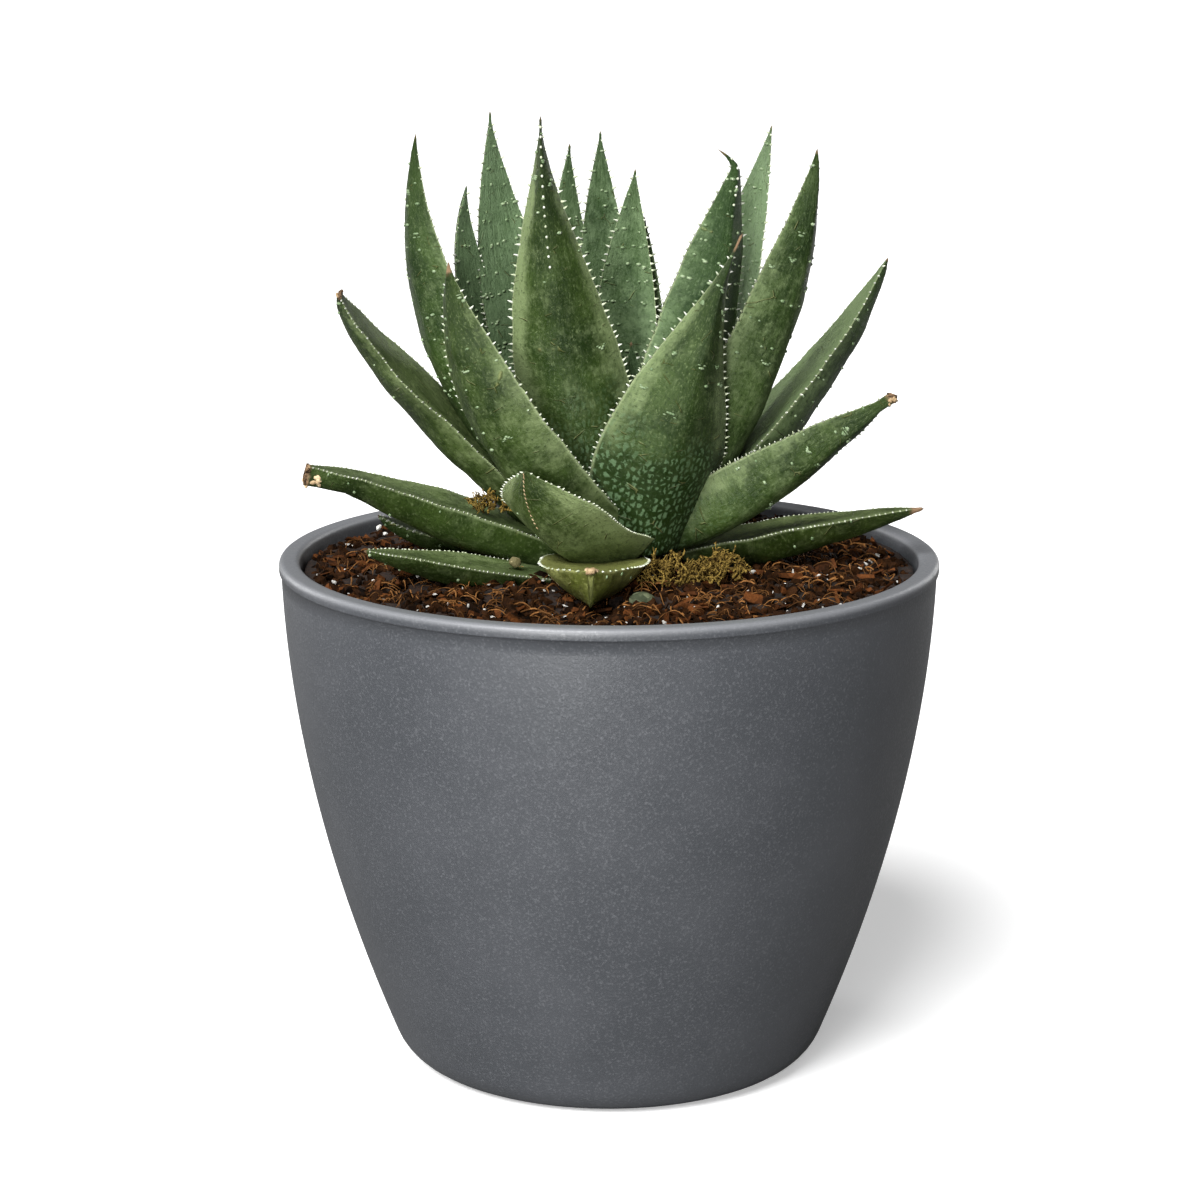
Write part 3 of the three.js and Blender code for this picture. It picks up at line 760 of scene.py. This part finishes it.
# The middle ring stands up and shows the toothed edges best.
grow_leaf("leaf_front_short", 10, base=(-3, -12, 12), bow=(-22, -29, 21), tip=(-24, -33, 31), facing=-125,
          width=28, depth=9, shoulder=0.45, taper=1.1, dots=0.08, tip_half=0.4, dry=0, keel=0.75,
          blunt=0.1, teeth=0.7, gap=0.45, fold=14, cool=0.05, tint=lime_painted_lit, pale_side=-1)
grow_leaf("leaf_front_right_tall", 11, base=(1, -9, 12), bow=(7, -26, 47), tip=(23, -19, 81), facing=-75,
          width=30, depth=9, shoulder=0.25, taper=2.0, dry=4, blotch=1, scars=12, dots=0.3, dots_from=0.55,
          cool=0.25, tint=tall, pale_side=1)
grow_leaf("leaf_front_left_tall", 12, base=(-4, -8, 11), bow=(-38, -28, 43), tip=(-41, -21, 75), facing=-130,
          width=25, depth=8, scars=8, dots=0.2, dry=2.5, cool=0.15, tint=grey, pale_side=-1)
grow_leaf("leaf_slanted_left", 13, base=(-10, -1, 9), bow=(-64, 1, 58), tip=(-66, -5, 66), facing=170,
          width=20, depth=8, tip_half=1.3, dry=1.5, dots=0.15, cool=0.1, tint=grey, teeth=0.8,
          crusts=((0.985, 4.7, 1.2),))
grow_leaf("leaf_slanted_right", 14, base=(6, 1, 12), bow=(43, 3, 49), tip=(57, 5, 73), facing=10, width=22,
          depth=9, dots=0.35, dry=1.2, cool=0.45, tint=painted_lit_face, teeth=0.8)
grow_leaf("leaf_front_centre_tall", 15, base=(-6, -4, 13), bow=(-21, -15, 64), tip=(-21, -15, 106),
          facing=-90, width=26, depth=8, shoulder=0.25, taper=1.6, blotch=0.45, keel_dots=15, scars=5,
          dots=0.16, dots_from=0.6, cool=0.2, tint=tall, pale_side=-1, teeth=1.1)
grow_leaf("leaf_tall_right", 16, base=(4, -4, 12), bow=(35, -6, 63), tip=(40, -3, 98), facing=-40, width=24,
          depth=8, dots=0.55, scars=6, cool=0.3, tint=painted_lit_face, pale_side=1, dry=1)
grow_leaf("leaf_tall_left", 17, base=(-8, 0, 12), bow=(-53, 2, 50), tip=(-49, 1, 101), facing=-140, width=25,
          depth=7, dots=0.5, scars=3, cool=0.35, tint=grey, teeth=1.1)
grow_leaf("leaf_curled_right", 18, base=(1, -1, 14), bow=(16, 2, 63), tip=(23, 1, 97), facing=-60, width=23,
          depth=7, dots=1.1, cool=0.7, tint=grey, hook=(-5, 0, 0.5), dry=1, keel_dots=6)
grow_leaf("leaf_back_right_tall", 19, base=(2, 7, 10), bow=(22, 12, 61), tip=(31, 15, 102), facing=50,
          width=20, depth=6, dots=0.9, dots_above=True, cool=0.8, tint=painted_lit_face)
grow_leaf("leaf_slim_left", 20, base=(-8, 4, 11), bow=(-43, 8, 57), tip=(-38, 6, 89), facing=140, width=17,
          depth=6, dots=1.1, dots_above=True, cool=0.9, tint=painted_lit_face)
grow_leaf("leaf_back_left_wide", 21, base=(-7, 6, 10), bow=(-33, 16, 65), tip=(-33, 16, 105), facing=125,
          width=23, depth=6, taper=1.4, dots=1.2, dots_above=True, cool=0.9, tint=painted_lit_face)

# Young leaves fill the heart and the back, smooth and a little bluer.
grow_leaf("leaf_inner_back", 22, base=(-3, 5, 14), bow=(-3, 12, 62), tip=(0, 14, 92), facing=90, width=16,
          depth=6, dots=1.3, dots_above=True, cool=0.75, tint=grey)
grow_leaf("leaf_back_slim_right", 23, base=(1, 8, 11), bow=(5, 18, 57), tip=(2, 16, 81), facing=87, width=8,
          depth=4, dots=1, dots_above=True, cool=0.6, tint=grey, teeth=0.8)
grow_leaf("leaf_back_middle", 24, base=(-3, 8, 10), bow=(-8, 20, 66), tip=(-8, 22, 100), facing=95,
          width=15, depth=5, dots=0.7, dots_above=True, cool=0.8, tint=grey)
grow_leaf("leaf_back_slim_left", 25, base=(-5, 8, 10), bow=(-18, 24, 62), tip=(-15, 24, 97), facing=100,
          width=14, depth=5, dots=0.7, dots_above=True, cool=0.8, tint=grey)
grow_leaf("leaf_heart", 26, base=(0, 1, 18), bow=(0, 1, 36), tip=(-1, 3, 54), facing=100, width=11, depth=4,
          dots=0.5, cool=0.9, tint=grey)

# --- Moss ------------------------------------------------------------------------------------
# Two clumps of dry moss have settled beside the stem and a tuft between two leaves: stiff,
# branched and yellow-brown, like lace, tangled into low cushions.
moss_seed = random.Random(21)


def grow_sprig(body, start, heading, steps, thickness):
    place = start.copy()
    direction = heading.normalized()
    for step in range(steps):
        size = thickness * (1 - 0.45 * step / steps)
        shape = (size * 0.75, size * 0.75, size * 1.25)
        turn = direction.to_track_quat("Z", "Y").to_matrix().to_4x4()
        bmesh.ops.create_icosphere(body, subdivisions=1, radius=1, matrix=at(place, turn, shape))
        place = place + direction * size * 1.5
        direction = (direction + Vector([moss_seed.uniform(-0.55, 0.55) for _ in range(3)])).normalized()
        if steps > 3 and moss_seed.random() < 0.4:
            aside = direction + Vector([moss_seed.uniform(-1.2, 1.2) for _ in range(3)])
            grow_sprig(body, place, aside, steps - 3, size * 0.9)


dry_moss = varied_material("dry_moss", (0.022, 0.012, 0.003), (0.37, 0.25, 0.06), 0.8, 0.8)


def moss_cushion(middle_of, reach, tufts):
    def add_sprig(body):
        angle = moss_seed.uniform(0, 2 * math.pi)
        radius = math.sqrt(moss_seed.random())
        out = Vector((math.cos(angle) * reach.x * radius, math.sin(angle) * reach.y * radius, 0))
        start = middle_of + out - Vector((0, 0, reach.z * 0.9))
        start.z += (1 - radius**2) * reach.z * moss_seed.uniform(0, 1.3)
        heading = out / reach.x + Vector((0, 0, moss_seed.uniform(0.2, 1.6)))
        grow_sprig(body, start, heading, 8, moss_seed.uniform(0.3, 0.5))

    body = bmesh.new()
    for _ in range(tufts):
        batch = bmesh.new()
        for _ in range(5):
            add_sprig(batch)
        merge_into(body, batch)
    return body


for clump in ("moss_clump_front", "moss_clump_right"):
    low, high = (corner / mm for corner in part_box(clump))
    cushion = moss_cushion((low + high) / 2, (high - low) / 2, 13)
    place_piece(clump + "_sprigs", cushion, [dry_moss], clump)
tuft = moss_cushion(Vector((-27, -5, 130)), Vector((4.2, 2.6, 2)), 5)
place_piece("moss_between_leaves", tuft, [dry_moss])

# --- Pebbles ---------------------------------------------------------------------------------
# Two small worn stones lie loose on the mix, held only by their weight: a round tan pellet
# between two low leaves, and a flat grey-green stone half sunk in front of them.
tan_stone = varied_material("tan_pellet", (0.09, 0.08, 0.035), (0.34, 0.29, 0.16), 0.7, 1.2)
green_stone = varied_material("grey_green_stone", (0.04, 0.05, 0.028), (0.17, 0.19, 0.11), 0.7, 1.2)
for pebble, stone, sunk in (("pebble_round", tan_stone, 0.0), ("pebble_flat", green_stone, 0.9)):
    low, high = (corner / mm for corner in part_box(pebble))
    middle_of = (low + high) / 2
    body = bmesh.new()
    spot = at(middle_of - Vector((0, 0, sunk)), Matrix.Identity(4), (high - low) / 2)
    bmesh.ops.create_icosphere(body, subdivisions=4, radius=0.97, matrix=spot)
    for vert in body.verts:
        vert.co += (vert.co / mm - middle_of).normalized() * noise.noise(vert.co / mm) * 0.25 * mm
    place_piece(pebble + "_worn", body, [stone], pebble)

# --- Studio ----------------------------------------------------------------------------------
# A seamless white floor and surround. A broad soft key stands high in front on the left, with
# weak panels behind on both sides, so that the pot rounds off into shade on the right and its
# edges and the leaf edges catch a little light. The floor throws back less than it shows.
floor_mesh = bmesh.new()
bmesh.ops.create_grid(floor_mesh, x_segments=1, y_segments=1, size=8)
floor_data = bpy.data.meshes.new("studio_floor")
floor_mesh.to_mesh(floor_data)
floor_mesh.free()
studio_floor = bpy.data.objects.new("studio_floor", floor_data)
floor_paint, floor_shader = plain_material("white_floor", (0.9, 0.9, 0.9), 1.0)
floor_shader.inputs["Specular IOR Level"].default_value = 0
seen_floor = add_node(floor_paint, "ShaderNodeLightPath").outputs["Is Camera Ray"]
floor_color = blend(floor_paint, seen_floor, (0.2, 0.2, 0.2), (0.94, 0.94, 0.94))
wire(floor_paint, floor_color, floor_shader, "Base Color")
floor_shader.inputs["Emission Color"].default_value = (1, 1, 1, 1)
wire(floor_paint, maths(floor_paint, "MULTIPLY", seen_floor, 0.32), floor_shader, "Emission Strength")
floor_data.materials.append(floor_paint)
bpy.context.scene.collection.objects.link(studio_floor)


def hang_light(name, kind, place, aim, energy, **settings):
    data = bpy.data.lights.new(name, kind)
    data.energy = energy
    for setting, value in settings.items():
        setattr(data, setting, value)
    light = bpy.data.objects.new(name, data)
    light.location = place
    light.rotation_euler = (Vector(aim) - Vector(place)).to_track_quat("-Z", "Y").to_euler()
    bpy.context.scene.collection.objects.link(light)


hang_light("key_light", "SUN", (-0.48, -0.92, 1.2), (0, 0, 0.1), 4.9, angle=math.radians(34))
tall_panel = {"shape": "RECTANGLE", "size": 0.4, "size_y": 0.9}
low_panel = {"shape": "RECTANGLE", "size": 0.24, "size_y": 0.5}
hang_light("front_panel", "AREA", (-0.25, -1.0, 0.1), (0, 0, 0.08), 11, **low_panel)
hang_light("left_panel", "AREA", (-1.0, 0.75, 0.35), (0, 0, 0.12), 6, **tall_panel)
hang_light("right_panel", "AREA", (0.75, 1.0, 0.35), (0, 0, 0.12), 4.5, **tall_panel)

sky = bpy.data.worlds.new("white_surround")
bpy.context.scene.world = sky
sky.use_nodes = True
sky_nodes = sky.node_tree.nodes
sky_links = sky.node_tree.links
seen = sky_nodes.new("ShaderNodeBackground")
seen.inputs["Strength"].default_value = 1.05
seen.inputs["Color"].default_value = (1, 1, 1, 1)
ambient = sky_nodes["Background"]
ambient.inputs["Color"].default_value = (1, 1, 1, 1)
ambient.inputs["Strength"].default_value = 0.06
choose = sky_nodes.new("ShaderNodeMixShader")
light_path = sky_nodes.new("ShaderNodeLightPath")
sky_links.new(light_path.outputs["Is Camera Ray"], choose.inputs[0])
sky_links.new(ambient.outputs[0], choose.inputs[1])
sky_links.new(seen.outputs[0], choose.inputs[2])
sky_links.new(choose.outputs[0], sky_nodes["World Output"].inputs["Surface"])
bpy.context.scene.view_settings.view_transform = "Standard"

camera_data = bpy.data.cameras.new("camera")
camera_data.lens = 91.7
camera_data.sensor_width = 36
camera = bpy.data.objects.new("camera", camera_data)
camera.location = (-0.00206, -0.68206, 0.2638)
camera_aim = Vector((-0.00206, 0, 0.1063))
camera.rotation_euler = (camera_aim - camera.location).to_track_quat("-Z", "Y").to_euler()
bpy.context.scene.collection.objects.link(camera)
bpy.context.scene.camera = camera
